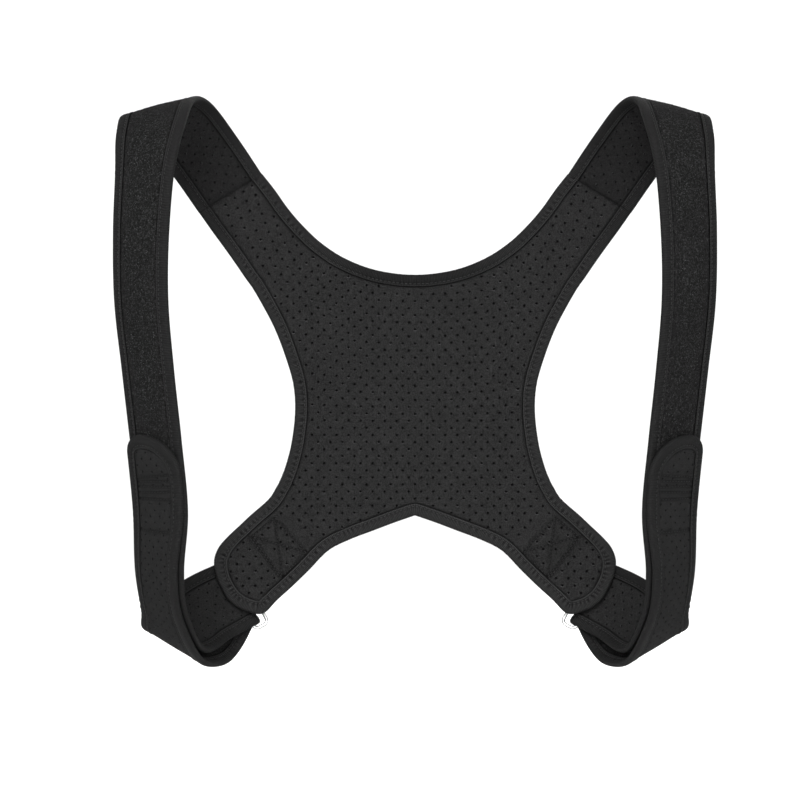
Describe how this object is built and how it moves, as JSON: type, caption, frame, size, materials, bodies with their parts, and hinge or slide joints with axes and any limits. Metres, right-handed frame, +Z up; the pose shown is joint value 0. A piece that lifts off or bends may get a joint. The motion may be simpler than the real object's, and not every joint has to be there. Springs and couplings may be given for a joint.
{
  "type": "posture corrector",
  "caption": "Worn back brace with a crossed soft panel and straps that loop over the shoulders, under the arms, through rings and back to pressed tabs.",
  "frame": {"origin": "midway between the tops of the two shoulder straps, on the line that rests on the wearer's shoulders", "axes": "+Z up the wearer's body, +Y out of the wearer's back, +X to the wearer's left"},
  "size_m": [0.4034, 0.1726, 0.3936],
  "materials": {
    "cloth": "matt perforated knit-faced foam cloth",
    "binding": "ribbed woven edge tape",
    "webbing": "flat woven webbing",
    "hook": "stiff hooked tape",
    "steel": "plated wire"
  },
  "bodies": {
    "root": {"back_panel": "cloth", "neck_binding": "binding", "lower_binding": "binding", "strap_left": "cloth", "strap_right": "cloth", "strap_binding_left": "binding", "strap_binding_right": "binding", "ring_left": "steel", "ring_right": "steel", "ring_webbing_left": "webbing", "ring_webbing_right": "webbing", "hook_patch_left": "hook", "hook_patch_right": "hook"}
  },
  "joints": []
}
